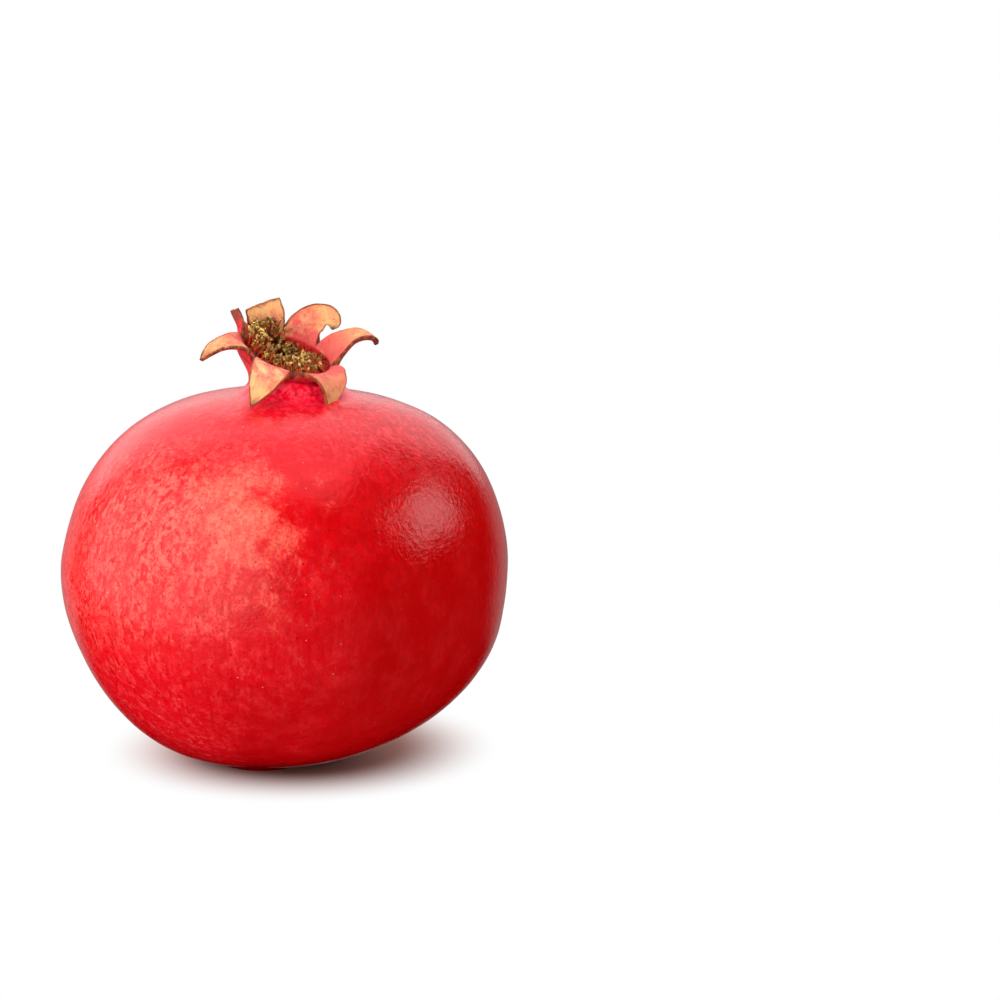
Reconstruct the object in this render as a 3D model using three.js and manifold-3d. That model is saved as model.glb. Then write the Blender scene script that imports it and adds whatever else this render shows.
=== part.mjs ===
// A whole pomegranate standing on its stem end, with the dried calyx and its stamens on top.
// Millimetres. +Z is up, +X is to the right and +Y is away from the front. The origin is under
// the middle of the fruit, on the surface that it rests on.

import * as THREE from "three";
import Module from "manifold-3d";

const wasm = await Module();
wasm.setup();

const { abs, cos, exp, hypot, max, sin, PI } = Math;
const rad = THREE.MathUtils.degToRad;
const mix = THREE.MathUtils.lerp;
const ease = THREE.MathUtils.smoothstep;
const point = (x, y, z) => new THREE.Vector3(x, y, z);
const UP = point(0, 0, 1);

// Body of the fruit
const BODY_RADIUS = 47.15;
const BODY_CENTRE = point(-0.76, 0.1, 38.3);
const CROWN_HALF = { height: 41.6, power: 2.29 };
const STEM_HALF = { height: 38, power: 1.8 };
const BODY_LEAN = rad(10.4);
const BULGES = [
  { towards: point(cos(rad(-131.6)), 0, sin(rad(-131.6))), gain: 0.109, spread: 6 },
  { towards: point(cos(rad(48.6)), 0, sin(rad(48.6))), gain: 0.098, spread: 6 },
];
const RIBS = { count: 5, gain: 0.005, turn: 0.6 };
const BODY_ROWS = 22;

// The flat spot that the fruit rests on, left of the body's middle because the body leans, and the
// hollow that the stem stub stands in. The profiles are radius and height.
const FOOT = BODY_CENTRE.clone().setZ(0).add(point(-4.4, 0, 0));
const REST_RADIUS = 9.5;
const REST_SOFTNESS = 1.2;
const REST_SINK = 0.14;
const STEM_HOLLOW = [[0, 5.2], [3.1, 5.0], [4.2, 3.2], [4.7, 0.8], [5.5, 0]];
const STEM_STUB = [[0, 1.0], [1.9, 1.0], [2.5, 1.5], [2.3, 3.0], [2.5, 4.3], [1.8, 4.8], [0, 4.8]];
const STUB_SIDES = 14;

// Neck, from its foot on the body to the rim of the calyx
const NECK_CENTRE = point(3.3, 0, 42.5).add(BODY_CENTRE);
const NECK_RADIUS = 9.9;
const FILLET = { width: 3.8, lift: 2.4, rows: 4 };
const NECK_ROWS = 5;
const RIM_CENTRE = point(1.6, 0.4, 50.4).add(BODY_CENTRE);
const RIM_NORMAL = point(0.3, -0.29, 0.91).normalize();
const RIM_RADIUS = 10.4;
const RIM_FLARE = { mean: 22, swing: 18, towards: rad(265) };
const WALL = 1.7;

// Calyx cup, from the rim down to its floor with the withered end of the style
const CUP_FLOOR = point(2.8, 0, 44).add(BODY_CENTRE);
const CUP_RADIUS = 7.4;
const CUP_ROWS = 5;
const FLOOR_ROWS = [[4.4, -0.4], [1.3, -0.2], [0.9, 1.6], [0.5, 2.4]];
const STYLE_TIP = 2.6;

// Sepals, anticlockwise from the right seen from above. Each list holds the values at a quarter, half
// and three quarters of the length and at the tip, after the root's own: the bend outwards, the sway,
// the twist and the roll (half the angle of the cross-section's arc) in degrees, and the width as a
// share of the root's.
const SEPALS = [
  { from: 350, length: 13, bend: [35, 52, 92, 150], sway: [0, -2, -4, -4], twist: [-4, -8, -12, -12],
    width: [0.86, 0.66, 0.46, 0.16], roll: [26, 24, 18, 8], slant: 0 },
  { from: 47, length: 10.7, bend: [16, 24, 26, 20], sway: [-16, -50, -90, -190], twist: [0, 0, -6, -10],
    width: [0.84, 0.72, 0.6, 0.22], roll: [20, 16, 12, 6], slant: 0 },
  { from: 95, length: 5.6, bend: [14, 20, 24, 24], sway: [12, 18, 20, 20], twist: [0, 0, 0, 0],
    width: [1.04, 1.06, 1.04, 1], roll: [20, 16, 14, 12], slant: 0.02 },
  { from: 142, length: 5.4, bend: [38, 48, 50, 46], sway: [0, 0, 0, 0], twist: [15, 30, 38, 40],
    width: [0.92, 0.84, 0.76, 0.68], roll: [30, 40, 46, 50], slant: 0.1 },
  { from: 178, length: 11.4, bend: [86, 114, 138, 158], sway: [0, 0, 0, 0], twist: [0, 0, 0, 0],
    width: [0.7, 0.5, 0.38, 0.12], roll: [24, 22, 18, 8], slant: 0 },
  { from: 229, length: 11.6, bend: [104, 146, 154, 156], sway: [0, -2, -3, -3], twist: [0, 0, 0, 0],
    width: [0.95, 0.74, 0.42, 0.08], roll: [10, 4, 2, 2], slant: 0 },
  { from: 274, length: 9.6, bend: [90, 140, 152, 154], sway: [-4, -10, -13, -13], twist: [0, -6, -10, -12],
    width: [0.76, 0.54, 0.32, 0.1], roll: [20, 14, 12, 8], slant: 0 },
];
const SEPAL_CELLS = 8;
const SEPAL_ROWS = 10;
const SPINE_STEPS = 8;
const SEPAL_THINNING = { tip: 0.35, margin: 0.4 };

// Stamens, on a band that lines the cup. Depths are shares of the cup's depth. The ranges are how
// far a stamen leans in from the wall, stands over the rim and swings sideways.
const BAND = { top: 0.12, bottom: 0.42, clearance: 0.4, thickness: 0.8, cells: 28 };
const STAMENS = { count: 96, seed: 7, sides: 3, lean: [1.2, 5.2], rise: [0.6, 2.6], swing: 0.4 };
const ROOT_MARGIN = 0.06;
const STAMEN_RADII = [[0, 0.44], [0.72, 0.38], [0.87, 0.74], [1, 0.38]];

// Finishes
const FINISHES = {
  rind: { color: 0xc8202a, roughness: 0.42, metalness: 0 },
  stamens: { color: 0x9a7a3a, roughness: 0.85, metalness: 0 },
  stem_stub: { color: 0x6b4a2c, roughness: 0.9, metalness: 0 },
};

// A closed skin of points and triangles, joined row by row
class Skin {
  points = [];
  triangles = [];

  row(points) {
    return points.map((each) => this.points.push(each) - 1);
  }

  // Joins two rows of the same length. A mirrored face takes the other diagonal, so that both
  // sides of a thin blade are split alike.
  join(low, high, { closed = true, mirrored = false } = {}) {
    const cells = closed ? low.length : low.length - 1;
    for (let i = 0; i < cells; i++) {
      const k = (i + 1) % low.length;
      const [a, b, c, d] = [low[i], low[k], high[k], high[i]];
      if (mirrored) this.triangles.push([a, b, d], [b, c, d]);
      else this.triangles.push([a, b, c], [a, c, d]);
    }
  }

  // Closes a ring with a pole, under it or above it
  cap(ring, pole, above) {
    const [tip] = this.row([pole]);
    ring.forEach((at, i) => {
      const next = ring[(i + 1) % ring.length];
      this.triangles.push(above ? [at, next, tip] : [next, at, tip]);
    });
  }

  coordinates() {
    return this.points.flatMap((p) => [p.x, p.y, p.z]);
  }

  geometry() {
    const shape = new THREE.BufferGeometry();
    shape.setAttribute("position", new THREE.Float32BufferAttribute(this.coordinates(), 3));
    shape.setIndex(this.triangles.flat());
    return shape;
  }
}

// Shares of the start, its slope, the end and its slope in a cubic curve
function cubicShares(t) {
  const t2 = t * t;
  const t3 = t2 * t;
  return [2 * t3 - 3 * t2 + 1, t3 - 2 * t2 + t, 3 * t2 - 2 * t3, t3 - t2];
}

// A smooth value through evenly spaced ones
function along(values, t) {
  const place = t * (values.length - 1);
  const i = Math.min(Math.floor(place), values.length - 2);
  const at = (k) => values[THREE.MathUtils.clamp(k, 0, values.length - 1)];
  const [start, leave, end, arrive] = cubicShares(place - i);
  const slopes = leave * (at(i + 1) - at(i - 1)) + arrive * (at(i + 2) - at(i));
  return start * at(i) + end * at(i + 1) + slopes / 2;
}

// The body's surface in a direction from its centre
function bodyPoint(direction) {
  const sideways = direction.x * cos(BODY_LEAN) - direction.z * sin(BODY_LEAN);
  const upwards = direction.x * sin(BODY_LEAN) + direction.z * cos(BODY_LEAN);
  const flat = hypot(sideways, direction.y);
  const { height, power } = upwards > 0 ? CROWN_HALF : STEM_HALF;
  const reach = ((flat / BODY_RADIUS) ** power + (abs(upwards) / height) ** power) ** (-1 / power);
  const azimuth = Math.atan2(direction.y, direction.x);
  const ribs = 1 + RIBS.gain * flat * flat * cos(RIBS.count * azimuth + RIBS.turn);
  const swell = BULGES.reduce((sum, { towards, gain, spread }) =>
    sum * (1 + gain * exp(spread * (direction.dot(towards) - 1))), 1);
  const at = direction.clone().multiplyScalar(reach * ribs * swell).add(BODY_CENTRE);
  at.z = max(0, (at.z + hypot(at.z, REST_SOFTNESS)) / 2 - REST_SINK);
  return at;
}

// A direction from the body's centre. The pole leans over to the neck at the top and to the foot at
// the bottom.
const tiltTo = (target) => Math.atan((target.x - BODY_CENTRE.x) / (target.z - BODY_CENTRE.z));
function bodyDirection(polar, azimuth) {
  const tilt = mix(tiltTo(NECK_CENTRE), tiltTo(FOOT), ease(polar, 0, PI));
  return point(sin(polar) * cos(azimuth), sin(polar) * sin(azimuth), cos(polar))
    .applyAxisAngle(point(0, 1, 0), tilt);
}

// The rim's own axes, and a point on the middle of the wall at the rim
const RIM_X = point(1, 0, 0).projectOnPlane(RIM_NORMAL).normalize();
const RIM_Y = RIM_NORMAL.clone().cross(RIM_X);
const outwards = (azimuth) =>
  RIM_X.clone().multiplyScalar(cos(azimuth)).addScaledVector(RIM_Y, sin(azimuth));
const turnedOut = (azimuth, angle) =>
  outwards(azimuth).multiplyScalar(cos(angle)).addScaledVector(RIM_NORMAL, -sin(angle));
const rimPoint = (azimuth) => outwards(azimuth).multiplyScalar(RIM_RADIUS).add(RIM_CENTRE);
const rimFlare = (azimuth) => RIM_FLARE.mean + RIM_FLARE.swing * cos(azimuth - RIM_FLARE.towards);
const rimFacing = (azimuth) => turnedOut(azimuth, rad(rimFlare(azimuth)));
const rimRising = (azimuth) => turnedOut(azimuth, rad(rimFlare(azimuth) - 90));
const wallPoint = (azimuth, side) =>
  rimPoint(azimuth).addScaledVector(rimFacing(azimuth), (side * WALL) / 2);

// The neck's outside, from the fillet's top to the rim
function neckPoint(foot, azimuth, t) {
  const top = wallPoint(azimuth, 1);
  const span = foot.distanceTo(top);
  const [start, leave, end, arrive] = cubicShares(t);
  return foot.clone().multiplyScalar(start)
    .addScaledVector(UP, leave * span)
    .addScaledVector(top, end)
    .addScaledVector(rimRising(azimuth), arrive * span);
}

// The cup's inside: depth 0 is the rim and 1 the edge of the floor
function cupRing(azimuth, depth, radius, lift = 0) {
  const normal = RIM_NORMAL.clone().lerp(UP, depth).normalize();
  const x = point(1, 0, 0).projectOnPlane(normal).normalize();
  const y = normal.clone().cross(x);
  return RIM_CENTRE.clone().lerp(CUP_FLOOR, depth)
    .addScaledVector(x, radius * cos(azimuth))
    .addScaledVector(y, radius * sin(azimuth))
    .addScaledVector(normal, lift);
}
const cupRadius = (depth) => mix(RIM_RADIUS - WALL / 2, CUP_RADIUS, depth);
function cupPoint(azimuth, depth, inset = 0) {
  const flare = wallPoint(azimuth, -1).sub(cupRing(azimuth, 0, cupRadius(0)));
  return cupRing(azimuth, depth, cupRadius(depth) - inset).addScaledVector(flare, (1 - depth) ** 2);
}

// A sepal's middle line with its own axes, one station a row
function sepalSpine(sepal, middle) {
  const steps = SEPAL_ROWS * SPINE_STEPS;
  const at = rimPoint(middle);
  const side = RIM_NORMAL.clone().cross(outwards(middle));
  const stations = [];
  for (let i = 0; i <= steps; i++) {
    const t = i / steps;
    const bend = rad(along([rimFlare(middle), ...sepal.bend], t));
    const [sway, twist] = [sepal.sway, sepal.twist].map((angles) => rad(along([0, ...angles], t)));
    const rise = turnedOut(middle, bend - PI / 2);
    const facing = turnedOut(middle, bend);
    const forward = rise.clone().multiplyScalar(cos(sway)).addScaledVector(side, sin(sway));
    const across = side.clone().multiplyScalar(cos(sway)).addScaledVector(rise, -sin(sway));
    if (i % SPINE_STEPS === 0) {
      across.applyAxisAngle(forward, twist);
      facing.applyAxisAngle(forward, twist);
      stations.push({ t, at: at.clone(), forward, across, facing });
    }
    at.addScaledVector(forward, sepal.length / steps);
  }
  return stations;
}

// One row of a sepal, on its outer face (side 1) or its inner face (side -1)
function sepalRow(sepal, station, halfSpan, side) {
  const { t, at, forward, across, facing } = station;
  const halfWidth = RIM_RADIUS * halfSpan * along([1, ...sepal.width], t);
  const roll = mix(halfSpan, rad(along([sepal.roll[0], ...sepal.roll], t)), ease(t, 0, 0.25));
  const radius = halfWidth / roll;
  const row = [];
  for (let i = 0; i <= SEPAL_CELLS; i++) {
    const s = (2 * i) / SEPAL_CELLS - 1;
    const thinning = (1 - SEPAL_THINNING.tip * t) * (1 - SEPAL_THINNING.margin * abs(s) ** 3);
    const normal = facing.clone().multiplyScalar(cos(s * roll)).addScaledVector(across, sin(s * roll));
    row.push(at.clone()
      .addScaledVector(across, radius * sin(s * roll))
      .addScaledVector(facing, -radius * (1 - cos(s * roll)))
      .addScaledVector(forward, sepal.slant * s * halfWidth * t)
      .addScaledVector(normal, (side * WALL * thinning) / 2));
  }
  return row;
}

function addSepal(skin, sepal, halfSpan, outerRoot, innerRoot) {
  const middle = rad(sepal.from) + halfSpan;
  const stations = sepalSpine(sepal, middle).slice(1);
  const outer = [outerRoot, ...stations.map((each) => skin.row(sepalRow(sepal, each, halfSpan, 1)))];
  const inner = [innerRoot, ...stations.map((each) => skin.row(sepalRow(sepal, each, halfSpan, -1)))];
  for (let j = 0; j < SEPAL_ROWS; j++) {
    skin.join(outer[j], outer[j + 1], { closed: false });
    skin.join(inner[j + 1], inner[j], { closed: false, mirrored: true });
    const start = [inner[j][0], outer[j][0], outer[j + 1][0], inner[j + 1][0]];
    const end = [outer[j], inner[j], inner[j + 1], outer[j + 1]].map((row) => row[SEPAL_CELLS]);
    for (const [a, b, c, d] of [start, end]) skin.triangles.push([a, b, c], [a, c, d]);
  }
  skin.join(outer[SEPAL_ROWS], inner[SEPAL_ROWS], { closed: false });
}

// Skin, neck, cup and sepals grow as one piece
function rind() {
  const skin = new Skin();
  const spans = SEPALS.map((sepal, i) => (SEPALS[(i + 1) % SEPALS.length].from - sepal.from + 360) % 360);
  const azimuths = SEPALS.flatMap((sepal, i) =>
    Array.from({ length: SEPAL_CELLS }, (_, k) => rad(sepal.from + (spans[i] * k) / SEPAL_CELLS)));
  const ring = (place) => skin.row(azimuths.map(place));

  const [[, roof], ...hollow] = STEM_HOLLOW;
  const rows = [...hollow, [REST_RADIUS, 0]].map(([radius, height]) =>
    ring((azimuth) => point(radius * cos(azimuth), radius * sin(azimuth), height).add(FOOT)));

  const filletStart = Math.atan2(NECK_RADIUS + FILLET.width, NECK_CENTRE.distanceTo(BODY_CENTRE));
  const restEnd = PI - Math.atan2(REST_RADIUS, FOOT.distanceTo(BODY_CENTRE));
  for (let j = 1; j <= BODY_ROWS; j++) {
    const polar = mix(restEnd, filletStart, j / BODY_ROWS);
    rows.push(ring((azimuth) => bodyPoint(bodyDirection(polar, azimuth))));
  }
  const fillet = (azimuth, turn) => {
    const radius = NECK_RADIUS + FILLET.width * (1 - sin(turn));
    const polar = Math.atan2(radius, NECK_CENTRE.distanceTo(BODY_CENTRE));
    return bodyPoint(bodyDirection(polar, azimuth)).addScaledVector(UP, FILLET.lift * (1 - cos(turn)));
  };
  for (let j = 1; j <= FILLET.rows; j++) {
    rows.push(ring((azimuth) => fillet(azimuth, (PI / 2) * (j / FILLET.rows))));
  }
  for (let j = 1; j <= NECK_ROWS; j++) {
    rows.push(ring((azimuth) => neckPoint(fillet(azimuth, PI / 2), azimuth, j / NECK_ROWS)));
  }
  skin.cap(rows[0], point(0, 0, roof).add(FOOT), false);
  for (let j = 1; j < rows.length; j++) skin.join(rows[j - 1], rows[j]);

  const outerRim = rows.at(-1);
  const innerRim = ring((azimuth) => wallPoint(azimuth, -1));
  SEPALS.forEach((sepal, i) => {
    const root = (rim) => Array.from({ length: SEPAL_CELLS + 1 }, (_, k) =>
      rim[(i * SEPAL_CELLS + k) % rim.length]);
    addSepal(skin, sepal, rad(spans[i]) / 2, root(outerRim), root(innerRim));
  });

  const cup = [innerRim];
  for (let j = 1; j <= CUP_ROWS; j++) {
    const depth = j / CUP_ROWS;
    cup.push(ring((azimuth) => cupPoint(azimuth, depth)));
  }
  for (const [radius, lift] of FLOOR_ROWS) cup.push(ring((azimuth) => cupRing(azimuth, 1, radius, lift)));
  for (let j = 1; j < cup.length; j++) skin.join(cup[j - 1], cup[j]);
  skin.cap(cup.at(-1), cupRing(0, 1, 0, STYLE_TIP), true);
  return skin.geometry();
}

// Even random numbers from 0 to 1 that are the same each time
function randomNumbers(seed) {
  let state = seed;
  return () => {
    state = (state * 1664525 + 1013904223) % 4294967296;
    return state / 4294967296;
  };
}

// A tube of changing radius along a curve that nowhere runs sideways, closed at both ends
const SIDEWAYS = point(0.82, -0.55, 0.12).normalize();
function taperedTube(curve, radii, sides) {
  const skin = new Skin();
  const rows = radii.map(([t, radius]) => {
    const tangent = curve.getTangent(t);
    const across = tangent.clone().cross(SIDEWAYS).normalize();
    const over = tangent.clone().cross(across);
    return skin.row(Array.from({ length: sides }, (_, i) => {
      const turn = (2 * PI * i) / sides;
      return curve.getPoint(t)
        .addScaledVector(across, radius * cos(turn))
        .addScaledVector(over, radius * sin(turn));
    }));
  });
  for (let j = 1; j < rows.length; j++) skin.join(rows[j - 1], rows[j]);
  skin.cap(rows[0], curve.getPoint(radii[0][0]), false);
  skin.cap(rows.at(-1), curve.getPoint(radii.at(-1)[0]), true);
  return skin;
}

// The band inside the cup that the filaments grow from
function stamenBand() {
  const skin = new Skin();
  const { top, bottom, clearance, thickness, cells } = BAND;
  const front = clearance + thickness;
  const corners = [[bottom, clearance], [top, clearance], [top, front], [bottom, front]];
  const rows = corners.map(([depth, inset]) =>
    skin.row(Array.from({ length: cells }, (_, i) => cupPoint((2 * PI * i) / cells, depth, inset))));
  rows.forEach((row, j) => skin.join(row, rows[(j + 1) % rows.length]));
  return skin;
}

// A stamen rises steeply from its root, then leans in
function stamen(azimuth, random) {
  const depth = mix(BAND.top + ROOT_MARGIN, BAND.bottom - ROOT_MARGIN, random());
  const root = cupPoint(azimuth, depth, BAND.clearance + BAND.thickness / 2);
  const lean = mix(...STAMENS.lean, random());
  const rise = mix(...STAMENS.rise, random());
  const swung = azimuth + (random() - 0.5) * STAMENS.swing;
  const knee = cupRing(swung, depth / 2, cupRadius(depth) - BAND.thickness - lean * 0.35, rise * 0.4);
  const tip = cupRing(swung, 0, cupRadius(0) - BAND.thickness - lean, rise);
  return taperedTube(new THREE.QuadraticBezierCurve3(root, knee, tip), STAMEN_RADII, STAMENS.sides);
}

// Joins skins that cross each other into one body, dropping what the joining seals in
function fused(skins) {
  const solids = skins.map((skin) => new wasm.Manifold(new wasm.Mesh({
    numProp: 3,
    vertProperties: new Float32Array(skin.coordinates()),
    triVerts: new Uint32Array(skin.triangles.flat()),
  })));
  const whole = solids.reduce((sum, solid) => sum.add(solid));
  const [largest] = whole.decompose().sort((a, b) => b.volume() - a.volume());
  const mesh = largest.getMesh();
  const shape = new THREE.BufferGeometry();
  shape.setAttribute("position", new THREE.BufferAttribute(new Float32Array(mesh.vertProperties), 3));
  shape.setIndex(new THREE.BufferAttribute(new Uint32Array(mesh.triVerts), 1));
  return shape;
}

function stamens() {
  const random = randomNumbers(STAMENS.seed);
  const tuft = Array.from({ length: STAMENS.count }, (_, i) =>
    stamen((2 * PI * (i + 0.6 * random())) / STAMENS.count, random));
  return fused([stamenBand(), ...tuft]);
}

function stemStub() {
  const profile = STEM_STUB.map(([radius, height]) => new THREE.Vector2(radius, height));
  return new THREE.LatheGeometry(profile, STUB_SIDES).rotateX(PI / 2).translate(FOOT.x, FOOT.y, 0);
}

const fruit = new THREE.Group();
for (const [name, shape] of [["rind", rind()], ["stamens", stamens()], ["stem_stub", stemStub()]]) {
  const piece = new THREE.Mesh(shape, new THREE.MeshStandardMaterial(FINISHES[name]));
  piece.name = name;
  fruit.add(piece);
}

export default fruit;
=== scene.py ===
"""A whole pomegranate on a pale floor, with its dried calyx and stamens.

Shapes are worked out in millimetres, from the same values as the solids, and turned into metres
when a mesh is made.
"""

import math

import bpy
import numpy as np
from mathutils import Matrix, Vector, noise


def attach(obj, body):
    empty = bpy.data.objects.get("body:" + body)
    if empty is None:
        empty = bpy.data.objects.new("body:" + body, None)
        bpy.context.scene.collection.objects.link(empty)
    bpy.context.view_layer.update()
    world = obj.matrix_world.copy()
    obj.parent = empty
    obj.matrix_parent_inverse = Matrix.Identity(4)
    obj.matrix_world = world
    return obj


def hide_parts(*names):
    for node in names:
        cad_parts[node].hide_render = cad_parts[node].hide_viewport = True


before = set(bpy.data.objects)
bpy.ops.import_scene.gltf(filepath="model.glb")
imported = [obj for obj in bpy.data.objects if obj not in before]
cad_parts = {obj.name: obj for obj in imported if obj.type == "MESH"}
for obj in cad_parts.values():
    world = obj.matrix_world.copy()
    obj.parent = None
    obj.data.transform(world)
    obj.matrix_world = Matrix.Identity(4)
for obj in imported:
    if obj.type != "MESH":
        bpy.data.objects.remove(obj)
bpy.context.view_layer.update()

MM = 0.001
UP = np.array([0.0, 0.0, 1.0])
rad = np.radians

# Body of the fruit. Each half has its height and the power of its curve, each bulge its direction,
# swell and spread, the ribs their count, swell and turn, and each unevenness its scale, height and seed
BODY_RADIUS = 47.15
BODY_CENTRE = np.array([-0.76, 0.1, 38.3])
CROWN_HALF = (41.6, 2.29)
STEM_HALF = (38.0, 1.8)
BODY_LEAN = rad(10.4)
BULGES = ((rad(-131.6), 0.109, 6.0), (rad(48.6), 0.098, 6.0))
RIBS = (5, 0.005, 0.6)
BODY_ROWS = 120
UNEVEN = ((0.03, 0.5, 1), (0.09, 0.16, 2), (0.28, 0.035, 3))

# Flat spot, stem hollow and stem stub, the last two as rows of radius and height
FOOT = BODY_CENTRE * (1, 1, 0) + (-4.4, 0, 0)
REST_RADIUS = 9.5
REST_SOFTNESS = 1.2
REST_SINK = 0.14
STEM_HOLLOW = ((0, 5.2), (3.1, 5.0), (4.2, 3.2), (4.7, 0.8), (5.5, 0))
HOLLOW_ROWS = 18
STEM_STUB = ((0, 1.0), (1.9, 1.0), (2.5, 1.5), (2.3, 3.0), (2.5, 4.3), (1.8, 4.8), (0, 4.8))
STUB_ROWS, STUB_SIDES = 36, 48

# Neck, rim and cup. The rim's flare has its mean and swing in degrees and the side that it leans to
NECK_CENTRE = BODY_CENTRE + (3.3, 0, 42.5)
NECK_RADIUS = 9.9
FILLET_WIDTH, FILLET_LIFT, FILLET_ROWS = 3.8, 2.4, 10
NECK_ROWS = 18
RIM_CENTRE = BODY_CENTRE + (1.6, 0.4, 50.4)
RIM_NORMAL = np.array([0.3, -0.29, 0.91]) / np.linalg.norm([0.3, -0.29, 0.91])
RIM_RADIUS = 10.4
RIM_FLARE = (22, 18, rad(265))
WALL = 1.7
CUP_FLOOR = BODY_CENTRE + (2.8, 0, 44)
CUP_RADIUS = 7.4
CUP_ROWS = 18
CUP_FLOOR_PROFILE = ((7.4, 0), (4.4, -0.4), (1.3, -0.2), (0.9, 1.6), (0.5, 2.4), (0.1, 2.6))
CUP_FLOOR_ROWS = 20

# Sepals, anticlockwise from the right seen from above, with values at the root, the quarters and the
# tip: bend, sway, twist and roll in degrees, and width as a share of the root's
SEPALS = (
    dict(start=350, length=13, bend=(35, 52, 92, 150), sway=(0, -2, -4, -4), twist=(-4, -8, -12, -12),
         width=(0.86, 0.66, 0.46, 0.16), roll=(26, 24, 18, 8), slant=0, cut=0),
    dict(start=47, length=10.7, bend=(16, 24, 26, 20), sway=(-16, -50, -90, -190), twist=(0, 0, -6, -10),
         width=(0.84, 0.72, 0.6, 0.22), roll=(20, 16, 12, 6), slant=0, cut=0),
    dict(start=95, length=5.6, bend=(14, 20, 24, 24), sway=(12, 18, 20, 20), twist=(0, 0, 0, 0),
         width=(1.04, 1.06, 1.04, 1), roll=(20, 16, 14, 12), slant=0.02, cut=0.12),
    dict(start=142, length=5.4, bend=(38, 48, 50, 46), sway=(0, 0, 0, 0), twist=(15, 30, 38, 40),
         width=(0.92, 0.84, 0.76, 0.68), roll=(30, 40, 46, 50), slant=0.1, cut=0.3),
    dict(start=178, length=11.4, bend=(86, 114, 138, 158), sway=(0, 0, 0, 0), twist=(0, 0, 0, 0),
         width=(0.7, 0.5, 0.38, 0.12), roll=(24, 22, 18, 8), slant=0, cut=0),
    dict(start=229, length=11.6, bend=(104, 146, 154, 156), sway=(0, -2, -3, -3), twist=(0, 0, 0, 0),
         width=(0.95, 0.74, 0.42, 0.08), roll=(10, 4, 2, 2), slant=0, cut=0),
    dict(start=274, length=9.6, bend=(90, 140, 152, 154), sway=(-4, -10, -13, -13), twist=(0, -6, -10, -12),
         width=(0.76, 0.54, 0.32, 0.1), roll=(20, 14, 12, 8), slant=0, cut=0),
)
SEPAL_CELLS = 28
SEPAL_ROWS = 44
SPINE_STEPS = 4
ROOT_BLEND = 0.2

# Stamens: ranges in millimetres, except for the depth of the root, which is a share of the cup's
STAMENS = 290
STAMEN_SEED = 11
SUNKEN_SIDE, HEAPED_SIDE = rad(52), rad(162)
ROOT_DEPTH = (0.1, 0.55)
LEAN, HEAPED_LEAN = (0.7, 5.6), (-0.2, 3.2)
RISE, SUNKEN_RISE, HEAP = (-0.6, 2.2), (-3.0, -0.8), 2.6
SWING = 0.28
FILAMENT_RADII = (0.16, 0.09)
FILAMENT_ROWS, FILAMENT_SIDES = 7, 5
ANTHER_HALF_LENGTH, ANTHER_RADIUS, ANTHER_FLATNESS = (0.52, 0.72), (0.34, 0.46), 0.72
ANTHER_ROWS, ANTHER_SIDES = 9, 8

# Seeds of the noise that shapes each surface
RAGGED_SEED, FOLD_SEEDS, VEIN_SEED, TORN_SEED = 4, (5, 6), 7, 9
NECK_SEED, CUP_SEED, STUB_SEEDS = 8, 12, (21, 22)


class Skin:
    """The points, shading values and faces of a closed surface that is built row by row."""

    def __init__(self, **values):
        self.points = []
        self.faces = []
        self.defaults = values
        self.values = {name: [] for name in values}
        self.count = 0

    def row(self, points, **values):
        points = np.asarray(points, float).reshape(-1, 3)
        self.points.append(points)
        for name, default in self.defaults.items():
            value = np.asarray(values.get(name, default), float)
            width = np.shape(default)
            self.values[name].append(np.broadcast_to(value, (len(points), *width)))
        self.count += len(points)
        return np.arange(self.count - len(points), self.count)

    def join(self, low, high, closed=True):
        if closed:
            low, high = np.append(low, low[0]), np.append(high, high[0])
        self.faces += np.stack([low[:-1], low[1:], high[1:], high[:-1]], axis=1).tolist()

    def cap(self, ring, pole, above, **values):
        tip = self.row(pole, **values)[0]
        around = ring if above else ring[::-1]
        self.faces += [[a, b, tip] for a, b in zip(around, np.roll(around, -1))]

    def piece(self, name, node, slot, material):
        """Makes the object, which stands for a CAD node and rides on the fruit's body."""
        mesh = bpy.data.meshes.new(name)
        mesh.from_pydata((np.concatenate(self.points) * MM).tolist(), [], self.faces)
        for key, stored in self.values.items():
            flat = np.concatenate(stored).astype(np.float32)
            kind, field = ("FLOAT_VECTOR", "vector") if flat.ndim == 2 else ("FLOAT", "value")
            mesh.attributes.new(key, kind, "POINT").data.foreach_set(field, flat.ravel())
        mesh.shade_smooth()
        mesh.materials.append(material)
        piece = bpy.data.objects.new(name, mesh)
        bpy.context.scene.collection.objects.link(piece)
        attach(piece, "root")
        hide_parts(node)


def unit(vectors):
    return vectors / np.linalg.norm(vectors, axis=-1, keepdims=True)


def ease(value, low, high):
    share = np.clip((value - low) / (high - low), 0, 1)
    return share * share * (3 - 2 * share)


def mixed(low, high, share):
    return low + (high - low) * share


def noise_at(points, scale, seed):
    """Smooth noise, from about -1 to 1, at each point."""
    shift = Vector((seed * 17.3, seed * 5.1, seed * 11.7))
    flat = np.asarray(points, float).reshape(-1, 3)
    values = [noise.noise(Vector(point) * scale + shift) for point in flat]
    return np.reshape(values, np.shape(points)[:-1])


def cubic_shares(t):
    """Shares of the start, its slope, the end and its slope in a cubic curve."""
    return 2 * t**3 - 3 * t**2 + 1, t**3 - 2 * t**2 + t, 3 * t**2 - 2 * t**3, t**3 - t**2


def along(values, t):
    """Smooth values through evenly spaced ones."""
    values = np.asarray(values, float)
    place = np.asarray(t, float) * (len(values) - 1)
    i = np.minimum(place.astype(int), len(values) - 2)
    last = len(values) - 1
    before, here, there, after = (values[np.clip(i + k, 0, last)] for k in (-1, 0, 1, 2))
    start, leave, end, arrive = cubic_shares(place - i)
    return start * here + end * there + (leave * (there - before) + arrive * (after - here)) / 2


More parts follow.
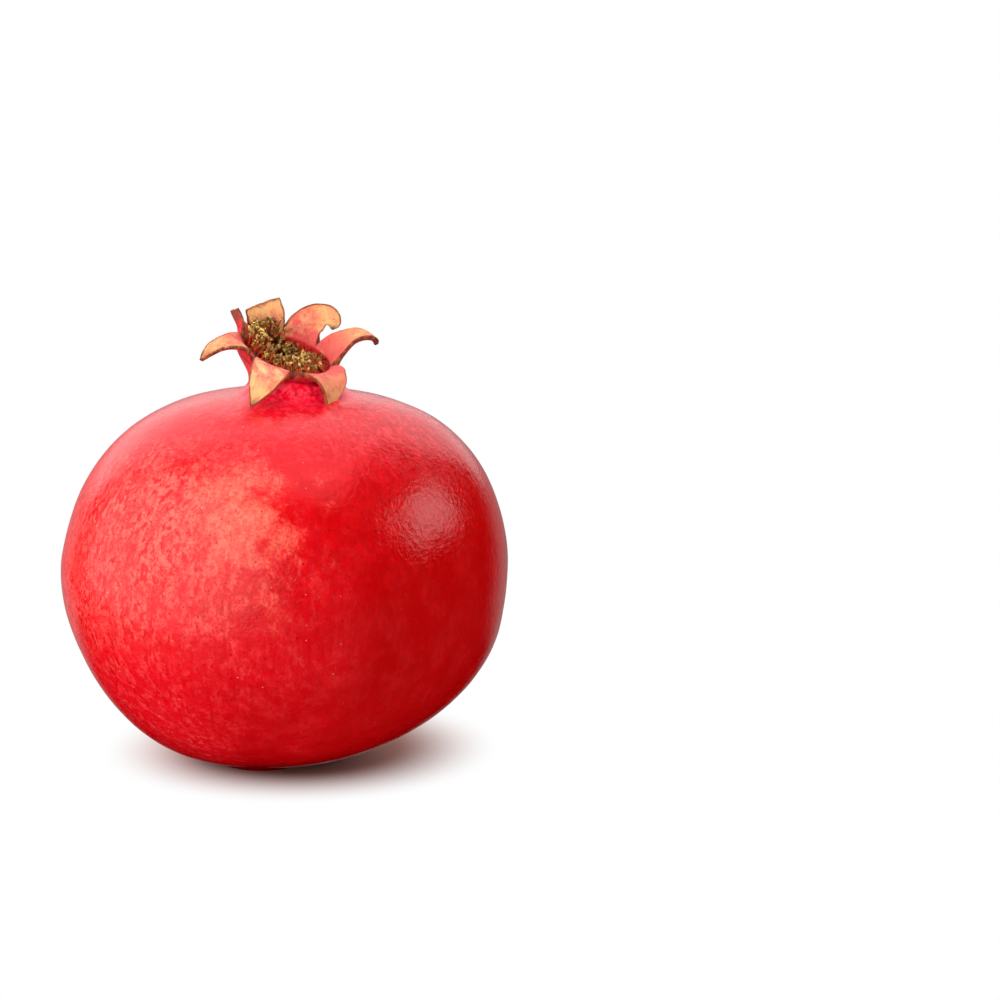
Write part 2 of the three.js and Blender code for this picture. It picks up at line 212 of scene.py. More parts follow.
def body_point(direction):
    """The body's surface in each direction from its centre."""
    x, y, z = np.moveaxis(direction, -1, 0)
    sideways = x * np.cos(BODY_LEAN) - z * np.sin(BODY_LEAN)
    upwards = x * np.sin(BODY_LEAN) + z * np.cos(BODY_LEAN)
    flat = np.hypot(sideways, y)
    height, power = (np.where(upwards > 0, crown, stem) for crown, stem in zip(CROWN_HALF, STEM_HALF))
    reach = ((flat / BODY_RADIUS) ** power + (np.abs(upwards) / height) ** power) ** (-1 / power)
    count, gain, turn = RIBS
    reach = reach * (1 + gain * flat**2 * np.cos(count * np.arctan2(y, x) + turn))
    for towards, swell, spread in BULGES:
        facing = x * np.cos(towards) + z * np.sin(towards)
        reach = reach * (1 + swell * np.exp(spread * (facing - 1)))
    at = direction * reach[..., None] + BODY_CENTRE
    floor = np.hypot(at[..., 2], REST_SOFTNESS)
    at[..., 2] = np.maximum(0, (at[..., 2] + floor) / 2 - REST_SINK)
    return at


def tilt_to(target):
    return math.atan((target[0] - BODY_CENTRE[0]) / (target[2] - BODY_CENTRE[2]))


def body_direction(polar, azimuth):
    """Directions from the body's centre, about a pole that leans to the neck and to the foot."""
    tilt = mixed(tilt_to(NECK_CENTRE), tilt_to(FOOT), ease(polar, 0, np.pi))
    x, y, z = np.sin(polar) * np.cos(azimuth), np.sin(polar) * np.sin(azimuth), np.cos(polar)
    z = np.broadcast_to(z, np.shape(x))
    return np.stack([x * np.cos(tilt) + z * np.sin(tilt), y, z * np.cos(tilt) - x * np.sin(tilt)], -1)


RIM_X = unit(np.array([1.0, 0, 0]) - RIM_NORMAL[0] * RIM_NORMAL)
RIM_Y = np.cross(RIM_NORMAL, RIM_X)


def outwards(azimuth):
    return np.cos(azimuth)[..., None] * RIM_X + np.sin(azimuth)[..., None] * RIM_Y


def turned_out(azimuth, angle):
    """A direction in the rim's own upright plane at an azimuth, turned down from straight outwards."""
    angle = np.asarray(angle)
    return outwards(azimuth) * np.cos(angle)[..., None] - RIM_NORMAL * np.sin(angle)[..., None]


def rim_flare(azimuth):
    mean, swing, towards = RIM_FLARE
    return rad(mean + swing * np.cos(azimuth - towards))


def wall_point(azimuth, side):
    facing = turned_out(azimuth, rim_flare(azimuth))
    return RIM_CENTRE + outwards(azimuth) * RIM_RADIUS + facing * (side * WALL / 2)


def fillet_point(azimuth, turn):
    """The foot of the neck, from the body (turn 0) to upright (a quarter turn)."""
    radius = NECK_RADIUS + FILLET_WIDTH * (1 - math.sin(turn))
    polar = math.atan2(radius, np.linalg.norm(NECK_CENTRE - BODY_CENTRE))
    return body_point(body_direction(polar, azimuth)) + UP * FILLET_LIFT * (1 - math.cos(turn))


def neck_point(azimuth, t):
    """The neck's outside, from the fillet's top to the rim."""
    foot = fillet_point(azimuth, np.pi / 2)
    top = wall_point(azimuth, 1)
    rising = turned_out(azimuth, rim_flare(azimuth) - np.pi / 2)
    span = np.linalg.norm(top - foot, axis=-1)[..., None]
    start, leave, end, arrive = cubic_shares(t)
    return start * foot + leave * span * UP + end * top + arrive * span * rising


def cup_ring(azimuth, depth, radius, lift=0.0):
    """A circle inside the cup. Depth 0 is the rim and 1 the edge of the floor."""
    depth = np.asarray(depth, float)[..., None]
    normal = unit(mixed(RIM_NORMAL, UP, depth))
    x = unit(np.array([1.0, 0, 0]) - normal[..., :1] * normal)
    y = np.cross(normal, x)
    radius, lift = (np.asarray(value, float)[..., None] for value in (radius, lift))
    sideways = x * np.cos(azimuth)[..., None] + y * np.sin(azimuth)[..., None]
    return mixed(RIM_CENTRE, CUP_FLOOR, depth) + radius * sideways + lift * normal


def cup_radius(depth):
    return mixed(RIM_RADIUS - WALL / 2, CUP_RADIUS, depth)


def cup_point(azimuth, depth, inset=0.0):
    flare = wall_point(azimuth, -1) - cup_ring(azimuth, 0, cup_radius(0))
    share = (1 - np.asarray(depth, float)[..., None]) ** 2
    return cup_ring(azimuth, depth, cup_radius(depth) - inset) + flare * share


def turned_about(vector, axis, angle):
    """A vector turned about an axis that is at right angles to it."""
    return vector * math.cos(angle) + np.cross(axis, vector) * math.sin(angle)


def sepal_spine(sepal, middle):
    """A sepal's middle line: place, forward, across and outward directions, one set a row."""
    steps = SEPAL_ROWS * SPINE_STEPS
    azimuth = np.array(middle)
    side = np.cross(RIM_NORMAL, outwards(azimuth))
    at = RIM_CENTRE + outwards(azimuth) * RIM_RADIUS
    flare = math.degrees(rim_flare(azimuth))
    stations = []
    for i in range(steps + 1):
        t = i / steps
        bend = rad(along((flare, *sepal["bend"]), t))
        sway, twist = (rad(along((0, *sepal[key]), t)) for key in ("sway", "twist"))
        rise, facing = turned_out(azimuth, bend - np.pi / 2), turned_out(azimuth, bend)
        forward = rise * np.cos(sway) + side * np.sin(sway)
        across = side * np.cos(sway) - rise * np.sin(sway)
        if i % SPINE_STEPS == 0:
            stations.append((at, forward, turned_about(across, forward, twist),
                             turned_about(facing, forward, twist)))
        at = at + forward * (sepal["length"] / steps)
    return [np.array(each) for each in zip(*stations)]


def sepal_faces(sepal, number, half_span, azimuths):
    """A sepal's outer and inner face as grids of points, root row first, with each margin's middle."""
    t = np.linspace(0, 1, SEPAL_ROWS + 1)[:, None]
    s = np.linspace(-1, 1, SEPAL_CELLS + 1)[None, :]
    at, forward, across, facing = (each[:, None, :] for each in
                                   sepal_spine(sepal, rad(sepal["start"]) + half_span))
    free = ease(t, 0, 0.3)
    place = np.stack(np.broadcast_arrays(s * 2.2, t * sepal["length"] / 3, number * 7.0), -1)
    ragged = noise_at(place[:, :1] * (0, 3, 1), 0.9, RAGGED_SEED) * 0.05 * free
    rounding = 1 if sepal["cut"] else np.sqrt(np.maximum(1 - ease(t, 0.86, 1.0) ** 2, 0.03))
    half_width = RIM_RADIUS * half_span * along((1, *sepal["width"]), t) * (1 + ragged) * rounding
    own_roll = rad(along((sepal["roll"][0], *sepal["roll"]), t))
    roll = mixed(half_span, own_roll, ease(t, 0, 0.25))
    angle = s * roll
    radius = half_width / roll
    normal = facing * np.cos(angle)[..., None] + across * np.sin(angle)[..., None]
    middle = at + across * (radius * np.sin(angle))[..., None]
    middle = middle - facing * (radius * (1 - np.cos(angle)))[..., None]
    torn = sepal["cut"] * noise_at(place * (2.6, 0.2, 1), 1.0, TORN_SEED) * free
    middle = middle + forward * (sepal["slant"] * s * half_width * t + torn)[..., None]
    folds = 0.26 * noise_at(place * (0.7, 0.5, 1), 1.0, FOLD_SEEDS[0])
    folds = folds + 0.1 * noise_at(place * (2.6, 0.6, 1), 1.0, FOLD_SEEDS[1])
    curl = -0.35 * np.abs(s) ** 6 * ease(t, 0.15, 0.7) * (0 if sepal["cut"] else 1)
    middle = middle + normal * ((folds + curl) * free)[..., None]
    thinning = (1 - 0.45 * t) * (1 - 0.55 * np.abs(s) ** 3 * free)
    grids = []
    for side in (1, -1):
        veins = 0.05 * noise_at(place * (5.5, 0.5, 1) + side, 1.0, VEIN_SEED) * free
        grid = middle + normal * (side * WALL * thinning / 2 + veins)[..., None]
        gap = wall_point(azimuths, side) - grid[0]
        grids.append(grid + gap * (1 - ease(t, 0, ROOT_BLEND))[..., None])
    outer, inner = grids
    margins = []
    for end, sign in ((0, -1), (-1, 1)):
        edge = across[:, 0] * np.cos(angle[:, end])[:, None] - facing[:, 0] * np.sin(angle[:, end])[:, None]
        bulge = 0.35 * np.linalg.norm(outer[:, end] - inner[:, end], axis=-1) * free[:, 0]
        margins.append((outer[:, end] + inner[:, end]) / 2 + edge * (sign * bulge)[:, None])
    edge = half_width * (1 - np.abs(s))
    edge = np.minimum(edge, (1 - t) * sepal["length"]) if sepal["cut"] else edge
    return outer, inner, margins, edge


def rind_skin():
    """Body, neck, cup and sepals as one closed skin."""
    skin = Skin(neck=0.0, inner=0.0, edge=9.0, tip=0.0, depth=0.0, tone=0.5, grain=(0.0, 0.0, 0.0))
    starts = np.array([sepal["start"] for sepal in SEPALS])
    spans = (np.roll(starts, -1) - starts) % 360
    shares = np.arange(SEPAL_CELLS) / SEPAL_CELLS
    azimuths = rad(starts[:, None] + spans[:, None] * shares).ravel()
    compass = np.stack([np.cos(azimuths), np.sin(azimuths)], -1)

    def ring(points, polar, **values):
        grain = np.column_stack([compass, np.full(len(azimuths), polar)])
        return skin.row(points, grain=grain, **values)

    rows = []
    for t in np.linspace(0, 1, HOLLOW_ROWS + 1):
        radius, height = (along(column, t) for column in zip(*STEM_HOLLOW[1:], (REST_RADIUS, 0)))
        flat = np.column_stack([compass * radius, np.full(len(azimuths), max(height, 0))])
        rows.append(ring(FOOT + flat, np.pi, depth=1 - t))
    rest_end = np.pi - math.atan2(REST_RADIUS, np.linalg.norm(FOOT - BODY_CENTRE))
    fillet_start = math.atan2(NECK_RADIUS + FILLET_WIDTH, np.linalg.norm(NECK_CENTRE - BODY_CENTRE))
    for polar in np.linspace(rest_end, fillet_start, BODY_ROWS + 1)[1:]:
        direction = body_direction(polar, azimuths)
        points = body_point(direction)
        level = sum(height * noise_at(points, scale, seed) for scale, height, seed in UNEVEN)
        fade = ease(points[:, 2], 0.5, 8) * ease(polar, fillet_start, fillet_start + 0.25)
        points = points + direction * (level * fade)[:, None]
        rows.append(ring(points, polar, neck=0.35 * ease(fillet_start + 0.12 - polar, 0, 0.12)))
    for share in np.linspace(0, 1, FILLET_ROWS + 1)[1:]:
        points = fillet_point(azimuths, share * np.pi / 2)
        rows.append(ring(points, fillet_start * (1 - 0.25 * share), neck=mixed(0.35, 1, share)))
    for t in np.linspace(0, 1, NECK_ROWS + 1)[1:]:
        points = neck_point(azimuths, t)
        uneven = 0.35 * noise_at(points, 0.28, NECK_SEED) * math.sin(np.pi * t)
        points = points + outwards(azimuths) * uneven[:, None]
        rows.append(ring(points, fillet_start * (0.75 - 0.3 * t), neck=1.0 + t))
    skin.cap(rows[0], FOOT + (0, 0, STEM_HOLLOW[0][1]), False, depth=1.0)
    for low, high in zip(rows, rows[1:]):
        skin.join(low, high)

    outer_rim = rows[-1]
    inner_rim = ring(wall_point(azimuths, -1), 0.3, neck=2.0, inner=1.0)
    notches = skin.row(wall_point(rad(starts), 0), neck=2.0, inner=0.5, edge=0.3)
    for number, (sepal, span) in enumerate(zip(SEPALS, spans)):
        picked = (number * SEPAL_CELLS + np.arange(SEPAL_CELLS + 1)) % len(azimuths)
        outer, inner, margins, edge = sepal_faces(sepal, number, rad(span) / 2, azimuths[picked])
        after = (number + 1) % len(SEPALS)
        loops = [np.concatenate([outer_rim[picked], notches[[after]],
                                 inner_rim[picked][::-1], notches[[number]]])]
        tone = (number * 0.37) % 1
        for j in range(1, SEPAL_ROWS + 1):
            t = j / SEPAL_ROWS
            grain = np.column_stack([compass[picked], np.full(len(picked), 0.2 - 0.3 * t)])
            shared = dict(neck=2.0, tip=t, tone=tone)
            front = skin.row(outer[j], edge=edge[j], grain=grain, **shared)
            back = skin.row(inner[j], edge=edge[j], grain=grain, inner=1.0, **shared)
            first, last = (skin.row(margin[j], edge=0.0, inner=0.6, **shared) for margin in margins)
            loops.append(np.concatenate([front, last, back[::-1], first]))
        for low, high in zip(loops, loops[1:]):
            skin.join(low, high)
        skin.join(front, back, closed=False)
        skin.faces += [[front[-1], last[0], back[-1]], [front[0], back[0], first[0]]]

    cup = [inner_rim]
    for depth in np.linspace(0, 1, CUP_ROWS + 1)[1:]:
        points = cup_point(azimuths, depth)
        inwards = RIM_CENTRE * (1 - depth) + CUP_FLOOR * depth - points
        uneven = 0.3 * noise_at(points, 0.5, CUP_SEED) * math.sin(np.pi * depth)
        points = points + unit(inwards) * uneven[:, None]
        cup.append(ring(points, 0.3, neck=2.0, inner=1.0, depth=depth))
    for t in np.linspace(0, 1, CUP_FLOOR_ROWS + 1)[1:]:
        radius, lift = (along(column, t) for column in zip(*CUP_FLOOR_PROFILE))
        cup.append(ring(cup_ring(azimuths, 1, radius, lift), 0.3, neck=2.0, inner=1.0, depth=1.0))
    for low, high in zip(cup, cup[1:]):
        skin.join(low, high)
    tip = cup_ring(np.array(0.0), 1, 0, CUP_FLOOR_PROFILE[-1][1] + 0.05)
    skin.cap(cup[-1], tip, True, neck=2.0, inner=1.0, depth=1.0)
    return skin


def tube(skin, centres, frames, radii, sides, **values):
    """A tube with its own cross-section at each centre, closed at both ends."""
    turn = np.linspace(0, 2 * np.pi, sides, endpoint=False)[:, None]
    rows = []
    for i, (centre, (across, over), (wide, high)) in enumerate(zip(centres, frames, radii)):
        own = {name: value[i] for name, value in values.items()}
        rows.append(skin.row(centre + across * wide * np.cos(turn) + over * high * np.sin(turn), **own))
    for low, high in zip(rows, rows[1:]):
        skin.join(low, high)
    for ring, centre, above, i in ((rows[0], centres[0], False, 0), (rows[-1], centres[-1], True, -1)):
        skin.cap(ring, centre, above, **{name: value[i] for name, value in values.items()})


def frames_along(centres):
    """Directions across a line of centres, at each of them."""
    tangents = unit(np.gradient(centres, axis=0))
    across = unit(np.cross(tangents, (0.82, -0.55, 0.12)))
    return list(zip(across, np.cross(tangents, across)))


def stamen_skin():
    """Bent filaments with bean-shaped anthers, rooted in a band inside the cup."""
    random = np.random.default_rng(STAMEN_SEED)
    skin = Skin(anther=0.0, shade=0.5, rise=0.0)
    for number in range(STAMENS):
        azimuth = 2 * np.pi * (number + random.uniform(-0.5, 0.5)) / STAMENS
        sunken = ease(np.cos(azimuth - SUNKEN_SIDE), 0.25, 0.95)
        heaped = ease(np.cos(azimuth - HEAPED_SIDE), 0.05, 0.9)
        depth = random.uniform(*ROOT_DEPTH)
        lean = mixed(random.uniform(*LEAN), random.uniform(*HEAPED_LEAN), heaped)
        rise = mixed(random.uniform(*RISE) + HEAP * heaped, random.uniform(*SUNKEN_RISE), sunken)
        swung = np.array(azimuth + random.uniform(-SWING, SWING))
        root = cup_point(np.array(azimuth), depth, 0.1)
        knee = cup_ring(swung, depth / 2, cup_radius(depth) - 0.6 - lean * 0.25, rise * 0.35)
        tip = cup_ring(swung, 0, cup_radius(0) - 0.6 - lean, rise)
        t = np.linspace(0, 1, FILAMENT_ROWS)[:, None]
        centres = (1 - t) ** 2 * root + 2 * t * (1 - t) * knee + t**2 * tip
        radii = [(radius, radius) for radius in np.linspace(*FILAMENT_RADII, len(t))]
        shade = np.full(len(t), random.uniform(0, 1))
        tube(skin, centres, frames_along(centres), radii, FILAMENT_SIDES, rise=t[:, 0], shade=shade)

        heading = unit(unit(tip - knee) + random.normal(0, 0.9, 3))
        sag = unit(np.cross(heading, random.normal(0, 1, 3)))
        length = random.uniform(*ANTHER_HALF_LENGTH)
        t = np.linspace(-1, 1, ANTHER_ROWS)[:, None]
        centres = tip + heading * t * length + sag * (0.25 * length * (1 - t**2))
        girth = np.sqrt(np.maximum(1 - np.abs(t[:, 0]) ** 2.4, 0.02))
        width = random.uniform(*ANTHER_RADIUS)
        radii = [(width * each, ANTHER_FLATNESS * width * each) for each in girth]
        shade = np.full(len(t), random.uniform(0, 1))
        ones = np.ones(len(t))
        tube(skin, centres, frames_along(centres), radii, ANTHER_SIDES, anther=ones, shade=shade, rise=ones)
    return skin


def stub_skin():
    """The woody end of the cut stem, with ridges along it and a rough end."""
    skin = Skin(end=0.0)
    azimuths = np.linspace(0, 2 * np.pi, STUB_SIDES, endpoint=False)
    compass = np.stack([np.cos(azimuths), np.sin(azimuths), np.zeros(STUB_SIDES)], -1)
    rows = []
    for t in np.linspace(0.01, 0.99, STUB_ROWS):
        radius, height = (along(column, t) for column in zip(*STEM_STUB))
        ridges = 0.09 * noise_at(compass * 4 + UP * t, 1.0, STUB_SEEDS[0])
        ridges = ridges + 0.04 * noise_at(compass * 9, 1.0, STUB_SEEDS[1])
        points = compass * (radius * (1 + ridges))[:, None] + UP * height + FOOT
        rows.append(skin.row(points, end=1 - ease(t, 0.1, 0.25)))
    for low, high in zip(rows, rows[1:]):
        skin.join(low, high)
    skin.cap(rows[0], FOOT + UP * STEM_STUB[0][1], False, end=1.0)
    skin.cap(rows[-1], FOOT + UP * STEM_STUB[-1][1], True)
    return skin


def colour(red, green, blue):
    """A colour given as it looks on screen, 0 to 255, in the linear values that shaders take."""
    shares = np.array([red, green, blue]) / 255
    linear = np.where(shares > 0.04045, ((shares + 0.055) / 1.055) ** 2.4, shares / 12.92)
    return (*linear.tolist(), 1.0)


class Graph:
    """Builds the nodes of one material, with places in millimetres."""

    def __init__(self, name):
        self.material = bpy.data.materials.new(name)
        self.material.use_nodes = True
        self.tree = self.material.node_tree
        self.shader = self.tree.nodes["Principled BSDF"]
        place = self.add("ShaderNodeTexCoord").outputs["Object"]
        self.place = self.vectors("MULTIPLY", place, (1 / MM, 1 / MM, 1 / MM))

    def add(self, kind, inputs=None, **settings):
        node = self.tree.nodes.new(kind)
        for name, value in settings.items():
            setattr(node, name, value)
        for key, value in (inputs or {}).items():
            self.feed(node.inputs[key], value)
        return node

    def feed(self, socket, value):
        if isinstance(value, bpy.types.NodeSocket):
            self.tree.links.new(value, socket)
        else:
            socket.default_value = value

    def value(self, name):
        return self.add("ShaderNodeAttribute", attribute_name=name).outputs["Fac"]

    def vectors(self, operation, a, b=(0, 0, 0), output="Vector"):
        return self.add("ShaderNodeVectorMath", {0: a, 1: b}, operation=operation).outputs[output]

    def grain(self, scale):
        """The stored direction around the fruit and way down from the crown, stretched by a scale."""
        stored = self.add("ShaderNodeAttribute", attribute_name="grain").outputs["Vector"]
        return self.vectors("MULTIPLY", stored, scale)

    def times(self, a, b):
        return self.add("ShaderNodeMath", {0: a, 1: b}, operation="MULTIPLY").outputs[0]

    def plus(self, a, b, share=1.0):
        """A value with a share of another one added."""
        return self.add("ShaderNodeMath", {0: b, 1: share, 2: a}, operation="MULTIPLY_ADD").outputs[0]

    def noise(self, scale, detail=2.0, roughness=0.5, distortion=0.0, vector=None):
        inputs = {"Vector": vector or self.place, "Scale": scale, "Detail": detail,
                  "Roughness": roughness, "Distortion": distortion}
        return self.add("ShaderNodeTexNoise", inputs).outputs["Fac"]

    def dots(self, scale, vector=None):
        """Distance from scattered points, and a random value for each."""
        node = self.add("ShaderNodeTexVoronoi", {"Vector": vector or self.place, "Scale": scale})
        chance = self.add("ShaderNodeSeparateColor", {0: node.outputs["Color"]}).outputs[0]
        return node.outputs["Distance"], chance

    def ramp(self, value, low, high, to_low=0.0, to_high=1.0):
        inputs = {"Value": value, "From Min": low, "From Max": high, "To Min": to_low, "To Max": to_high}
        return self.add("ShaderNodeMapRange", inputs, interpolation_type="SMOOTHSTEP").outputs[0]

    def mix(self, share, low, high):
        return self.add("ShaderNodeMix", {0: share, 6: low, 7: high}, data_type="RGBA").outputs[2]

    def finished(self, base, roughness, level, relief):
        """The material, with its colour, roughness and a bump of a height in metres."""
        bump = self.add("ShaderNodeBump", {"Height": level, "Distance": relief, "Strength": 1.0})
        self.feed(self.shader.inputs["Base Color"], base)
        self.feed(self.shader.inputs["Roughness"], roughness)
        self.feed(self.shader.inputs["Normal"], bump.outputs["Normal"])
        return self.material


def rind_material():
    graph = Graph("rind")
    noise_of, ramp, mix, times, plus = graph.noise, graph.ramp, graph.mix, graph.times, graph.plus
    neck, inner, edge, tip = (graph.value(name) for name in ("neck", "inner", "edge", "tip"))
    depth, tone = graph.value("depth"), graph.value("tone")

    # Noises, from large to small
    heading = graph.vectors("NORMALIZE", graph.vectors("SUBTRACT", graph.place, tuple(BODY_CENTRE)))

    def side(direction):
        return graph.vectors("DOT_PRODUCT", heading, direction, "Value")

    clouds = noise_of(0.045, 3, 0.6, 0.4)
    blotches = noise_of(0.2, 4, 0.65, 0.2)
    upright = graph.vectors("MULTIPLY", graph.place, (1, 1, 0.55))
    mottle = noise_of(0.6, 4, 0.65, 0.0, upright)
    flares = noise_of(0.9, 3, 0.6, 0.0, upright)
    grit = noise_of(1.7, 3, 0.65)
    streak_place = graph.grain((26, 26, 2.2))
    streaks = noise_of(1.0, 4, 0.65, 0.0, streak_place)
    fine_streaks = noise_of(3.2, 3, 0.6, 0.0, streak_place)

    # Skin: deep red on the shaded right and paler on the lit left as painted shade and light, coral with
    # painted sheen at the left and front, a painted peach highlight, mottled red around the neck
    # Painted light and shade: the red is paler towards the lit left and the back, and a deeper red on the
    # shaded right, with clouds of uneven tone
    lit_side_and_clouds = plus(side((-0.9, -0.3, 0.25)), ramp(side((0.3, 0.95, 0.1)), 0.1, 0.9), 0.8)
    lit_side_and_clouds = plus(lit_side_and_clouds, clouds, 1.2)
    red_with_painted_shade = mix(ramp(lit_side_and_clouds, 0.3, 1.5), colour(178, 0, 0), colour(228, 6, 24))
    # Coral at the front and left: the skin's own coral, with painted sheen where the large left light
    # reflects
    front_coral_and_sheen = ramp(plus(side((-0.38, -0.8, 0.46)), blotches, 0.6), 1.14, 1.32)
    left_coral_and_sheen = ramp(plus(side((-0.82, -0.48, 0.3)), blotches, 0.6), 1.08, 1.34)
    coral_and_sheen_share = plus(times(front_coral_and_sheen, 0.8), left_coral_and_sheen, 0.6)
    coral_and_sheen_share = times(coral_and_sheen_share, ramp(mottle, 0.62, 0.4, 0.3, 1))
    coral_and_sheen_share = times(coral_and_sheen_share, ramp(grit, 0.62, 0.44, 0.35, 1))
    skin = mix(coral_and_sheen_share, red_with_painted_shade, colour(254, 112, 92))
    # Pale flecks in the skin, stronger on the lit left as painted light
    pale_flecks_on_lit_side = times(ramp(mottle, 0.58, 0.4), ramp(lit_side_and_clouds, 0.5, 1.3, 0, 0.6))
    pale_flecks_on_lit_side = times(pale_flecks_on_lit_side, ramp(blotches, 0.4, 0.58, 0.25, 1))
    skin = mix(pale_flecks_on_lit_side, skin, colour(250, 66, 72))
    near_neck = ramp(side((0.1, 0, 1)), 0.55, 0.97)
    skin = mix(times(near_neck, 0.7), skin, colour(184, 0, 24))
    red_flecks = ramp(plus(flares, blotches, 0.7), 0.84, 1.0)
    red_flecks = times(red_flecks, ramp(plus(lit_side_and_clouds, near_neck, 0.5), 0.5, 1.2, 0.3, 1))
    skin = mix(red_flecks, skin, colour(220, 0, 10))
    # Painted highlight: a soft peach patch on the front
    painted_highlight_share = ramp(plus(side((-0.2, -0.84, 0.5)), blotches, 0.15), 1.03, 1.085, 0, 0.3)
    skin = mix(painted_highlight_share, skin, colour(255, 138, 108))
    skin = mix(ramp(grit, 0.55, 0.64, 0, 0.5), skin, colour(184, 0, 10))
    skin = mix(times(ramp(streaks, 0.46, 0.62, 0, 0.5), near_neck), skin, colour(214, 10, 36))
    skin = mix(times(ramp(mottle, 0.5, 0.58, 0, 0.5), near_neck), skin, colour(242, 62, 72))
    thread_share = times(ramp(fine_streaks, 0.48, 0.64, 0, 0.4), ramp(near_neck, 0, 1, 0.4, 0.9))
    skin = mix(thread_share, skin, colour(160, 0, 18))

    # Pale dots, partly lenticels and partly painted glints, most of them on the lit left; dark specks
    near, chance = graph.dots(0.42)
    lenticels_and_glints = times(ramp(near, 0.07, 0.04), ramp(chance, 0.5, 0.52))
    skin = mix(times(lenticels_and_glints, ramp(lit_side_and_clouds, 0.5, 1.2, 0.05, 0.8)), skin, colour(255, 176, 150))
    near, chance = graph.dots(0.75, graph.vectors("ADD", graph.place, (7, 3, 5)))
    specks = times(ramp(near, 0.26, 0.1), ramp(chance, 0.5, 0.8))
    skin = mix(times(specks, 0.75), skin, colour(150, 0, 10))

    # Neck and outer faces of the sepals
    flecks = noise_of(0.9, 4, 0.7)
    throat = mix(ramp(flecks, 0.44, 0.58), colour(238, 0, 34), colour(246, 58, 84))
    throat = mix(ramp(mottle, 0.52, 0.6, 0, 0.6), throat, colour(186, 0, 26))
    back_face = mix(ramp(flecks, 0.42, 0.58), colour(196, 0, 24), colour(226, 30, 54))
    throat = mix(ramp(neck, 1.0, 1.7), throat, back_face)
    skin = mix(ramp(plus(neck, ramp(blotches, 0.3, 0.7, -0.12, 0.12)), 0.12, 0.8), skin, throat)
    outer = mix(ramp(plus(tip, mottle, 0.7), 0.65, 1.2), skin, colour(150, 60, 42))

    # Inner faces: pink at the root, peach above, with brown margins, tips and specks
    leather = noise_of(0.35, 4, 0.6, 0.3)
    veins = noise_of(2.2, 3, 0.6, 0.0, graph.grain((26, 26, 5)))
    flesh = mix(ramp(plus(tip, leather, 0.8), 0.55, 1.15), colour(238, 92, 88), colour(255, 190, 122))
    patches = mix(tone, colour(234, 104, 88), colour(255, 210, 144))
    flesh = mix(ramp(leather, 0.46, 0.62, 0, 0.7), flesh, patches)
    flesh = mix(ramp(flecks, 0.54, 0.66, 0, 0.5), flesh, colour(226, 76, 66))
    flesh = mix(ramp(veins, 0.52, 0.66, 0, 0.25), flesh, colour(220, 120, 70))
    brown = mix(ramp(mottle, 0.44, 0.6), colour(112, 34, 14), colour(206, 108, 50))
    worn = plus(edge, mottle, -1.3)
    flesh = mix(ramp(worn, -0.4, -0.66), flesh, brown)
    flesh = mix(ramp(plus(tip, leather, 0.6), 1.14, 1.35, 0, 0.8), flesh, brown)
    near, chance = graph.dots(0.8)
    flesh = mix(times(ramp(near, 0.2, 0.06), ramp(chance, 0.6, 0.95, 0, 0.9)), flesh, colour(120, 30, 18))
    # Painted shade: the cup's crimson wall turns dark brown towards its floor
    cup = mix(ramp(depth, 0.0, 0.7), colour(210, 22, 30), colour(90, 20, 12))
    cup = mix(ramp(flecks, 0.5, 0.6, 0, 0.5), cup, colour(150, 30, 20))
    flesh = mix(ramp(depth, 0.0, 0.12), flesh, cup)
    outer = mix(ramp(worn, -0.36, -0.66, 0, 0.9), outer, brown)
    base = mix(ramp(inner, 0.3, 0.7), outer, flesh)

    # Waxy skin, dry sepals, both slightly uneven
    dry = ramp(neck, 1.6, 2.0)
    waxy = ramp(blotches, 0.35, 0.65, 0.11, 0.18)
    dimples = noise_of(0.9, 3, 0.6)
    pores = noise_of(3.5, 2, 0.5)
    level = plus(dimples, pores, 0.2)
    level = plus(level, streaks, ramp(near_neck, 0, 1, 0.1, 0.4))
    level = plus(level, plus(veins, mottle), ramp(dry, 0, 1, 0, 3))
    return graph.finished(base, ramp(dry, 0, 1, waxy, 0.6), level, 0.13 * MM)


def stamen_material():
    graph = Graph("stamens")
    anther, shade, rise = (graph.value(name) for name in ("anther", "shade", "rise"))
    grain = graph.noise(2.2, 3, 0.6)
    thread = graph.mix(graph.ramp(rise, 0, 0.8), colour(164, 16, 10), colour(184, 74, 22))
    pod = graph.mix(shade, colour(120, 76, 16), colour(222, 184, 92))
    pod = graph.mix(graph.ramp(grain, 0.48, 0.58), pod, colour(76, 32, 8))
    return graph.finished(graph.mix(anther, thread, pod), 0.6, grain, 0.12 * MM)


def stub_material():
    graph = Graph("stem")
    fibres = graph.vectors("MULTIPLY", graph.place, (2.4, 2.4, 0.4))
    bark = graph.noise(1.0, 4, 0.65, 0.4, fibres)
    wood = graph.mix(graph.ramp(bark, 0.35, 0.65), colour(70, 44, 28), colour(134, 98, 66))
    rings = graph.mix(graph.ramp(graph.noise(1.6, 3), 0.4, 0.6), colour(122, 92, 62), colour(168, 136, 96))
    return graph.finished(graph.mix(graph.value("end"), wood, rings), 0.85, bark, 0.4 * MM)


rind_skin().piece("pomegranate_rind", "rind", "rind", rind_material())
stamen_skin().piece("dried_stamens", "stamens", "stamens", stamen_material())
stub_skin().piece("stem_end", "stem_stub", "stem", stub_material())


# Floor, white to the horizon, with a painted shadow under the fruit: a warm grey patch that fades to white
FLOOR_HALF_WIDTH = 6.0
PAINTED_SHADOW_COLOUR = (0.5, 0.29, 0.24, 1)
PAINTED_SHADOW_MIDDLE = (3, 9, 0)
PAINTED_SHADOW_FADE = (20, 44)


